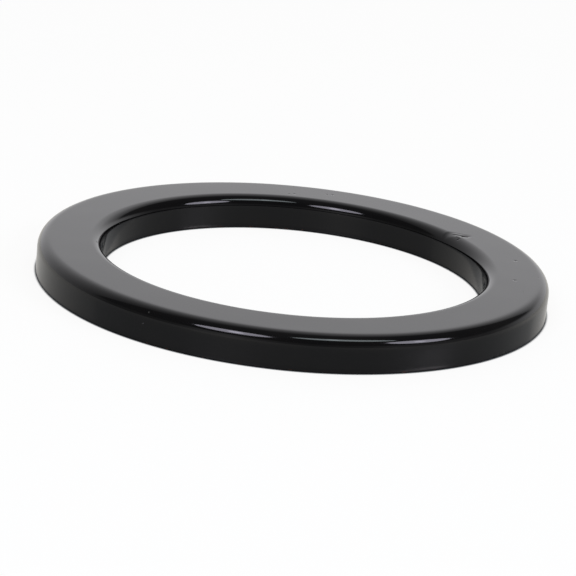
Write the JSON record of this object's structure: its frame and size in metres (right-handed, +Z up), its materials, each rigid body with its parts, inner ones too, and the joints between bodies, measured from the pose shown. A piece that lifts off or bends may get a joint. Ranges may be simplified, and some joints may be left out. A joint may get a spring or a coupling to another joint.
{
  "type": "coil spring spacer",
  "caption": "Flat ring of pressed sheet steel with rounded shoulders and short skirts, open underneath, that packs up the end of a vehicle's coil spring.",
  "frame": {"origin": "centre of the bore, in the plane of the two rims that the ring stands on", "axes": "+Z up along the bore's axis, from the open side with the rims to the flat land; +X and +Y are any two radii at right angles"},
  "size_m": [0.172, 0.172, 0.0118],
  "materials": {
    "gloss_enamel": "gloss"
  },
  "bodies": {
    "root": {"spacer_ring": "gloss_enamel"}
  },
  "joints": []
}
